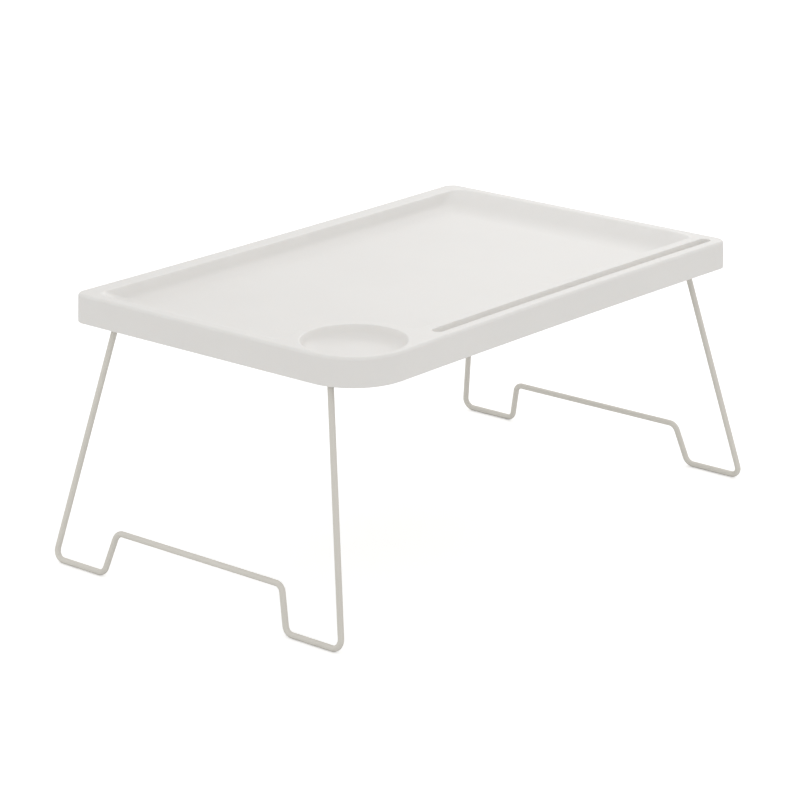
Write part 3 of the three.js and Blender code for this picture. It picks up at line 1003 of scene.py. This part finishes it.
@dataclass
class LegFrame:
    """A leg frame bent from one wire, lying in a plane that leans out from its pins. Millimetres.

    wire is the wire's radius and bend that of its centre line in a corner. From a pin's end the wire
    runs out to pin_corner, down to the foot's outer corner, back along the floor to its inner one
    and up to the crossbar.
    """

    hinge: Hinge
    wire: float = 2.96
    bend: float = 9.0
    lean: float = math.radians(10.33)
    pin_end: float = 106.5
    pin_corner: float = 132.3
    foot_outer: float = 181.84
    foot_inner: float = 116.0
    foot_height: float = 3.0
    bar_corner: float = 104.1
    bar_height: float = 44.6
    end_radius: float = 0.6
    rubbed_height: float = 2.2
    columns: int = 24
    bend_steps: int = 14

    @property
    def name(self) -> str:
        """The side that the leg frame is on."""
        return "left" if self.hinge.side < 0 else "right"

    def corners(self) -> np.ndarray:
        """Corners of the wire's route from one pin's end to the other's.

        x grows with the tangent of the lean below the pins.

        Returns:
            The corners, in order.
        """
        half = [
            (self.pin_end, self.hinge.height),
            (self.pin_corner, self.hinge.height),
            (self.foot_outer, self.foot_height),
            (self.foot_inner, self.foot_height),
            (self.bar_corner, self.bar_height),
        ]
        flat = np.array([(-y, z) for y, z in half] + half[::-1])
        drop = self.hinge.height - flat[:, 1]
        x = self.hinge.side * (self.hinge.out + drop * math.tan(self.lean))
        return np.stack([x, flat[:, 0], flat[:, 1]], axis=-1)

    def route(self) -> tuple[np.ndarray, np.ndarray]:
        """Centre line of the wire: straight runs joined by arcs that touch both.

        An arc starts radius * tan(turn / 2) before its corner, and its points are the start plus
        radius * sin(angle) along the run and radius * (1 - cos(angle)) towards the next run.

        Returns:
            Points and unit tangents.
        """
        corners = self.corners()
        runs = np.diff(corners, axis=0)
        runs /= np.linalg.norm(runs, axis=1, keepdims=True)
        points, tangents = [corners[:1]], [runs[:1]]
        for corner, before, after in zip(corners[1:-1], runs[:-1], runs[1:]):
            turn = math.acos(float(np.clip(before @ after, -1, 1)))
            inward = after - before * (before @ after)
            inward /= np.linalg.norm(inward)
            start = corner - before * self.bend * math.tan(turn / 2)
            angle = np.linspace(0, turn, self.bend_steps + 1)[:, None]
            points.append(start + self.bend * (np.sin(angle) * before + (1 - np.cos(angle)) * inward))
            tangents.append(np.cos(angle) * before + np.sin(angle) * inward)
        return np.concatenate([*points, corners[-1:]]), np.concatenate([*tangents, runs[-1:]])

    def rounded_end(self, tip: np.ndarray, inward: np.ndarray) -> tuple[np.ndarray, np.ndarray]:
        """Round off a wire end: the radius grows with the sine of an angle, the way in with 1 - cosine.

        Args:
            tip: middle of the end's face.
            inward: direction into the wire.

        Returns:
            Centre and radius of each section, from the face inwards.
        """
        angle = np.linspace(0, math.pi / 2, 5)
        centres = tip + inward * (self.end_radius * (1 - np.cos(angle)))[:, None]
        return centres, self.wire - self.end_radius * (1 - np.sin(angle))

    def build(self) -> bpy.types.Object:
        """Carry a round section along the route and round off both wire ends.

        Returns:
            The leg frame.
        """
        points, tangents = self.route()
        first, radii_first = self.rounded_end(points[0], tangents[0])
        last, radii_last = self.rounded_end(points[-1], -tangents[-1])
        centres = np.concatenate([first, points[1:-1], last[::-1]])
        radii = np.concatenate([radii_first, np.full(len(points) - 2, self.wire), radii_last[::-1]])
        ahead = [np.repeat(tangents[:1], len(first), axis=0), tangents[1:-1]]
        ahead = np.concatenate([*ahead, np.repeat(tangents[-1:], len(last), axis=0)])
        normal = np.array([math.cos(self.lean), 0.0, self.hinge.side * math.sin(self.lean)])
        sideways = np.cross(ahead, normal)
        sideways /= np.linalg.norm(sideways, axis=1, keepdims=True)
        angle = around(self.columns)[None, :, None]
        ring = np.cos(angle) * normal + np.sin(angle) * sideways[:, None]
        grid = centres[:, None] + radii[:, None, None] * ring
        shell = Shell()
        shell.add_bar(grid, np.clip(1 - grid[..., 2] / self.rubbed_height, 0, 1))
        return shell.build(f"wire_frame_{self.name}")


# ---------------------------------------------------------------- underside


@dataclass
class Underside:
    """Ribs, bracket pads, screw bosses and stow clips under the tray. Millimetres.

    rib_rows are the ribs along the tray and rib_columns those across it. softening and boss_foot
    list how far a bar is drawn in, and a boss's radius, at each height above its lower end.
    """

    tray: Tray
    pins_out: float
    rib: float = 2.0
    rib_height: float = 3.0
    rib_corner: float = 0.8
    rib_rows: tuple[float, ...] = (-60.0, 60.0)
    rib_span: tuple[float, float] = (-135.0, 200.0)
    rib_columns: tuple[float, ...] = (-120.0, 0.0, 120.0)
    rib_reach: float = 110.0
    rib_step: float = 0.1
    sink: float = 1.0
    softening: tuple = ((0.0, 0.35), (0.12, 0.12), (0.4, 0.0))
    boss_foot: tuple = ((0.0, 3.5), (0.12, 3.7), (0.35, 3.8))
    boss_root: float = 4.0
    boss_columns: int = 32
    boss_span: tuple[float, float] = (241.5, 247.6)
    pad_out: tuple[float, float] = (-6.0, 7.0)
    pad_along: tuple[float, float] = (105.0, 124.0)
    pad_span: tuple[float, float] = (246.1, 256.0)
    pad_top_at_cup: float = 249.0
    pad_corner: float = 1.0
    folded_slope: float = math.radians(3.8)
    clip_inside: float = 3.5
    clip_outside: float = 6.5
    clip_lip: float = 1.8
    clip_half_width: float = 7.0
    clip_bevel: float = 0.5

    @property
    def floor(self) -> float:
        """Height of the basin's underside."""
        return self.tray.top - self.tray.basin_depth - self.tray.wall

    def swept_box(self, shell: Shell, low: tuple, high: tuple, radius: float) -> None:
        """Add an upright bar of rounded-rectangle section with a softened lower end.

        Args:
            shell: the shell that takes it.
            low: its lowest corner.
            high: its highest corner.
            radius: radius of its upright edges.
        """
        corners = [(low[0], low[1]), (high[0], low[1]), (high[0], high[1]), (low[0], high[1])]
        levels = [(low[2] + rise, inset) for rise, inset in self.softening] + [(high[2], 0.0)]
        rows = []
        for z, inset in levels:
            box = [
                (x + (inset if x == low[0] else -inset), y + (inset if y == low[1] else -inset))
                for x, y in corners
            ]
            rows.append(self.tray.raised(rounded(box, radius - inset), z))
        shell.add_bar(np.stack(rows))

    def turned_boss(self, shell: Shell, x: float, y: float) -> None:
        """Add a screw boss: a slightly tapered round bar with a softened foot.

        Args:
            shell: the shell that takes it.
            x: place of its axis.
            y: place of its axis.
        """
        low, high = self.boss_span
        levels = [(low + rise, radius) for rise, radius in self.boss_foot] + [(high, self.boss_root)]
        rings = [level_ring(x, y, z, radius, self.boss_columns) for z, radius in levels]
        shell.add_bar(np.stack(rings))

    def bracket_pad(self, shell: Shell, x: float, y: float) -> None:
        """Add the pad between the tray and a bracket; the one beside the cup recess is lower.

        Args:
            shell: the shell that takes it.
            x: middle of the bracket.
            y: middle of the bracket.
        """
        side, end = math.copysign(1, x), math.copysign(1, y)
        xs = sorted(side * (self.pins_out + out) for out in self.pad_out)
        ys = sorted(end * along for along in self.pad_along)
        low, top = self.pad_span
        if side < 0 and end < 0:
            top = self.pad_top_at_cup
        self.swept_box(shell, (xs[0], ys[0], low), (xs[1], ys[1], top), self.pad_corner)

    def build(self) -> bpy.types.Object:
        """Build everything that is moulded under the floor.

        Returns:
            The piece that holds it all.
        """
        shell = Shell()
        low, high, half = self.floor - self.rib_height, self.floor + self.sink, self.rib / 2
        for y in self.rib_rows:
            near, far = (self.rib_span[0], y - half, low), (self.rib_span[1], y + half, high)
            self.swept_box(shell, near, far, self.rib_corner)
        for x in self.rib_columns:
            near = (x - half, -self.rib_reach, low)
            far = (x + half, self.rib_reach, high - self.rib_step)
            self.swept_box(shell, near, far, self.rib_corner)
        for node in nodes_named("bracket_screw"):
            self.turned_boss(shell, *upright_axis(node)[:2])
        for node in nodes_named("leg_bracket"):
            self.bracket_pad(shell, *upright_axis(node)[:2])
        return shell.build("tray_underside_details")

    def clip_section(self, leg: LegFrame) -> np.ndarray:
        """Section of a stow clip: a U that is open downwards, about the folded leg's crossbar.

        Args:
            leg: the leg frame that it holds.

        Returns:
            x and z of each corner.
        """
        reach = (leg.hinge.height - leg.bar_height) / math.cos(leg.lean)
        x = leg.hinge.side * (leg.hinge.out - reach * math.cos(self.folded_slope))
        z = leg.hinge.height - reach * math.sin(self.folded_slope)
        inside, outside = self.clip_inside, self.clip_outside
        mouth, roof = z - self.clip_lip, self.floor + self.sink
        half = [(outside, mouth), (inside, mouth), (inside, z + inside)]
        arms = [(x - out, up) for out, up in half] + [(x + out, up) for out, up in half[::-1]]
        return np.array([*arms, (x + outside, roof), (x - outside, roof)])

    def build_clip(self, leg: LegFrame) -> bpy.types.Object:
        """Build a stow clip: its section carried across its width, with softened edges.

        Args:
            leg: the leg frame that it holds.

        Returns:
            The clip.
        """
        section = self.clip_section(leg)
        count = len(section)
        near = np.arange(count)
        following = np.roll(near, -1)
        half = self.clip_half_width
        ends = [np.insert(section, 1, y, axis=1) for y in (-half, half)]
        sides = np.stack([near, following, count + following, count + near], axis=-1).tolist()
        mesh = bpy.data.meshes.new("stow_clip")
        faces = [*sides, near.tolist(), (count + near[::-1]).tolist()]
        mesh.from_pydata(np.concatenate(ends) * MM, [], faces)
        made = bmesh.new()
        made.from_mesh(mesh)
        bmesh.ops.recalc_face_normals(made, faces=made.faces[:])
        made.to_mesh(mesh)
        made.free()
        piece = link_mesh(f"stow_clip_{leg.name}", mesh)
        soften_edges(piece, self.clip_bevel, 3, 30.0)
        return piece


# ---------------------------------------------------------------- brackets and screws


@dataclass
class Fixings:
    """Leg brackets and their screws, in the frame's places with finer shapes. Millimetres.

    rim and shank list a screw's radius at each height above its face and below its point.
    cross_edge is how wide the slanting edges of its recess are, across an arm and at its end.
    """

    bracket_bevel: float = 0.35
    sharp: float = 35.0
    columns: int = 64
    face_radius: float = 2.4
    dome: float = 0.5
    recess_depth: float = 1.0
    cross_half: float = 0.42
    cross_reach: float = 1.65
    cross_edge: tuple[float, float] = (0.12, 0.25)
    rim: tuple = ((2.75, 0.75), (2.95, 1.1), (3.0, 1.5), (2.95, 1.8), (1.45, 1.8), (1.3, 1.95))
    shank: tuple = ((1.3, 1.0), (0.5, 0.0))
    head_wear: float = 0.3

    def bracket(self, node: str) -> bpy.types.Object:
        """Soften the edges of a bracket: a merged copy of its solid with a narrow bevel.

        Args:
            node: the bracket's node in the frame.

        Returns:
            The piece that stands for it.
        """
        mesh = frame["nodes"][node].data.copy()
        mesh.materials.clear()
        made = bmesh.new()
        made.from_mesh(mesh)
        bmesh.ops.remove_doubles(made, verts=made.verts[:], dist=1e-5)
        level = {"verts": made.verts[:], "edges": made.edges[:]}
        bmesh.ops.dissolve_limit(made, angle_limit=math.radians(1), **level)
        bmesh.ops.recalc_face_normals(made, faces=made.faces[:])
        for face in made.faces:
            face.smooth = True
        for edge in made.edges:
            edge.smooth = edge.calc_face_angle(0.0) < math.radians(self.sharp)
        made.to_mesh(mesh)
        made.free()
        piece = link_mesh(f"{node}_moulding", mesh)
        soften_edges(piece, self.bracket_bevel, 2, self.sharp)
        return piece

    def screw(self, node: str) -> bpy.types.Object:
        """Turn a pan-head screw whose head looks down, with a cross recess.

        The head's face is a dome, and the recess is a cross of two bars cut in by a smooth step.

        Args:
            node: the screw's node in the frame.

        Returns:
            The piece that stands for it.
        """
        x, y, face, end = upright_axis(node)
        angle = around(self.columns)
        share = np.linspace(0.02, 1.0, 28)[:, None]
        radius = share * self.face_radius
        across = np.abs(radius * np.cos(angle)), np.abs(radius * np.sin(angle))
        side_edge, end_edge = self.cross_edge
        bars = [
            np.clip((self.cross_half - a) / side_edge, 0, 1)
            * np.clip((self.cross_reach - b) / end_edge, 0, 1)
            for a, b in (across, across[::-1])
        ]
        height = face + self.dome * share**2 + self.recess_depth * np.maximum(*bars)
        head = np.stack([x + radius * np.cos(angle), y + radius * np.sin(angle), height], axis=-1)
        sides = [(wide, face + up) for wide, up in self.rim]
        sides += [(wide, end - down) for wide, down in self.shank]
        rings = np.stack([level_ring(x, y, z, wide, self.columns) for wide, z in sides])
        shell = Shell()
        shell.add_bar(np.concatenate([head, rings]), self.head_wear)
        return shell.build(f"{node}_pan_head", smooth_angle=50.0)


# ---------------------------------------------------------------- studio


@dataclass
class Studio:
    """Pale floor, an even sky, one soft light and the camera. Metres.

    sky is how strong the sky is as a light, and floor_lift how much the floor glows towards the eye.
    The floor is level along floor_level of its length and then turns up with floor_radius.
    """

    eye: tuple[float, float, float] = (-2.2562, -1.90041, 1.06867)
    yaw: float = 0.7034
    pitch: float = 0.3102
    lens: float = 142.32
    sky: float = 0.88
    floor_lift: float = 0.4
    floor_colour: tuple[float, float, float] = (0.84, 0.84, 0.835)
    floor_roughness: float = 0.9
    floor_half_width: float = 9.0
    floor_start: float = -4.0
    floor_length: float = 18.0
    floor_level: float = 0.55
    floor_radius: float = 3.0
    floor_rows: int = 40
    key_place: tuple[float, float, float] = (2.7, 1.2, 2.0)
    key_aim: tuple[float, float, float] = (0.0, 0.0, 0.2)
    key_size: float = 2.0
    key_power: float = 14.0

    def floor_grid(self) -> np.ndarray:
        """Points of the floor: level along the camera's heading, then up a quarter circle.

        A point lies as far along as the level part reaches plus radius * sin(turn), and as high as
        radius * (1 - cos(turn)).

        Returns:
            Points, two to each row.
        """
        along = np.linspace(0, 1, self.floor_rows)
        turn = np.clip((along - self.floor_level) / (1 - self.floor_level), 0, 1) * math.pi / 2
        level = np.minimum(along, self.floor_level) * self.floor_length + self.floor_start
        distance = level + self.floor_radius * np.sin(turn)
        height = self.floor_radius * (1 - np.cos(turn))
        facing = np.array([math.cos(self.yaw), math.sin(self.yaw)])
        sideways = np.array([-facing[1], facing[0]])
        across = np.array([-self.floor_half_width, self.floor_half_width])
        ground = distance[:, None, None] * facing + across[None, :, None] * sideways
        upright = np.broadcast_to(height[:, None, None], (self.floor_rows, 2, 1))
        return np.concatenate([ground, upright], axis=-1)

    def floor(self) -> bpy.types.Object:
        """Build the pale floor: a level sheet that curves up far behind the object.

        Returns:
            The floor.
        """
        mesh = bpy.data.meshes.new("studio_floor")
        numbers = np.arange(2 * self.floor_rows).reshape(self.floor_rows, 2)
        corners = [numbers[:-1, 0], numbers[1:, 0], numbers[1:, 1], numbers[:-1, 1]]
        mesh.from_pydata(self.floor_grid().reshape(-1, 3), [], np.stack(corners, axis=-1).tolist())
        for polygon in mesh.polygons:
            polygon.use_smooth = True
        mesh.materials.append(self.floor_material())
        floor = link_mesh("studio_floor", mesh)
        return floor

    def floor_material(self) -> bpy.types.Material:
        """Build the floor's even white, lifted a little towards the eye and clear from below.

        Returns:
            The material.
        """
        material = bpy.data.materials.new("studio_floor")
        material.use_nodes = True
        tree = material.node_tree
        shader = tree.nodes["Principled BSDF"]
        shader.inputs["Base Color"].default_value = (*self.floor_colour, 1.0)
        shader.inputs["Emission Color"].default_value = (1.0, 1.0, 1.0, 1.0)
        shader.inputs["Roughness"].default_value = self.floor_roughness
        seen = add_node(tree, "ShaderNodeLightPath").outputs["Is Camera Ray"]
        lift = add_math(tree, "MULTIPLY", seen, self.floor_lift)
        tree.links.new(lift, shader.inputs["Emission Strength"])
        clear = add_node(tree, "ShaderNodeBsdfTransparent")
        mix = add_node(tree, "ShaderNodeMixShader")
        tree.links.new(add_node(tree, "ShaderNodeNewGeometry").outputs["Backfacing"], mix.inputs[0])
        tree.links.new(shader.outputs[0], mix.inputs[1])
        tree.links.new(clear.outputs[0], mix.inputs[2])
        tree.links.new(mix.outputs[0], tree.nodes["Material Output"].inputs["Surface"])
        return material

    def sky_world(self) -> bpy.types.World:
        """Build an even sky: plain white to the eye and a little weaker as a light.

        Returns:
            The world.
        """
        world = bpy.data.worlds.new("studio")
        world.use_nodes = True
        tree = world.node_tree
        seen = add_node(tree, "ShaderNodeLightPath").outputs["Is Camera Ray"]
        strength = add_math(tree, "ADD", add_math(tree, "MULTIPLY", seen, 1.0 - self.sky), self.sky)
        background = tree.nodes["Background"]
        background.inputs["Color"].default_value = (1.0, 1.0, 1.0, 1.0)
        tree.links.new(strength, background.inputs["Strength"])
        return world

    def key_light(self) -> bpy.types.Object:
        """Hang the soft light and point it at the tray.

        Returns:
            The light.
        """
        lamp = bpy.data.lights.new("key", "AREA")
        lamp.size = self.key_size
        lamp.energy = self.key_power
        holder = bpy.data.objects.new("key", lamp)
        holder.location = self.key_place
        aim = Vector(self.key_aim) - Vector(self.key_place)
        holder.rotation_euler = aim.to_track_quat("-Z", "Y").to_euler()
        bpy.context.scene.collection.objects.link(holder)
        return holder

    def camera(self) -> bpy.types.Object:
        """Place the camera: its axes are built from its yaw and its downward pitch.

        Returns:
            The camera.
        """
        level = math.cos(self.pitch)
        x, y = level * math.cos(self.yaw), level * math.sin(self.yaw)
        ahead = Vector((x, y, -math.sin(self.pitch)))
        right = ahead.cross(Vector((0, 0, 1))).normalized()
        up = right.cross(ahead)
        data = bpy.data.cameras.new("camera")
        data.lens = self.lens
        data.sensor_width = 36.0
        data.clip_end = 60.0
        holder = bpy.data.objects.new("camera", data)
        bpy.context.scene.collection.objects.link(holder)
        turn = Matrix((right, up, -ahead)).transposed().to_4x4()
        holder.matrix_world = Matrix.Translation(Vector(self.eye)) @ turn
        bpy.context.scene.camera = holder
        return holder

    def build(self) -> None:
        """Set up the camera, the floor, the sky and the light."""
        self.camera()
        self.floor()
        bpy.context.scene.world = self.sky_world()
        self.key_light()
        bpy.context.scene.view_settings.view_transform = "Standard"


# ---------------------------------------------------------------- assembly


def dress(
    piece: bpy.types.Object,
    material: bpy.types.Material,
    body: Body,
    nodes: tuple[str, ...] = (),
) -> None:
    """Give a piece its finish, the body it rides on and the nodes it stands for.

    Args:
        piece: the piece.
        material: its finish.
        body: the body that it moves with.
        nodes: frame nodes that it replaces.
    """
    piece.data.materials.clear()
    piece.data.materials.append(material)
    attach(piece, body.value)
    if nodes:
        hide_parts(*nodes)
    LOG.info("%s rides on %s", piece.name, body.value)


def main() -> None:
    """Build the studio and every piece in order."""
    logging.basicConfig(level=logging.INFO, format="%(message)s")
    Studio().build()
    grain, wear = moulded_grain_group(), handling_wear_group()
    tray_plastic = TRAY_PLASTIC.make(grain, wear)
    bracket_plastic = BRACKET_PLASTIC.make(grain, wear)
    powder_coat = POWDER_COAT.make(grain, wear)
    zinc = ZINC_STEEL.make(grain, wear)
    tray = Tray.of("tray")
    dress(tray.build(), tray_plastic, Body.TRAY, ("tray",))
    underside = Underside(tray, Hinge.of(Body.LEFT).out)
    dress(underside.build(), tray_plastic, Body.TRAY)
    for body in (Body.LEFT, Body.RIGHT):
        leg = LegFrame(Hinge.of(body))
        dress(underside.build_clip(leg), tray_plastic, Body.TRAY)
        dress(leg.build(), powder_coat, body, (f"wire_leg_{leg.name}",))
    fixings = Fixings()
    for node in nodes_named("bracket_screw"):
        dress(fixings.screw(node), zinc, Body.TRAY, (node,))
    for node in nodes_named("leg_bracket"):
        dress(fixings.bracket(node), bracket_plastic, Body.TRAY, (node,))
    bpy.context.view_layer.update()


if __name__ == "__main__":
    main()
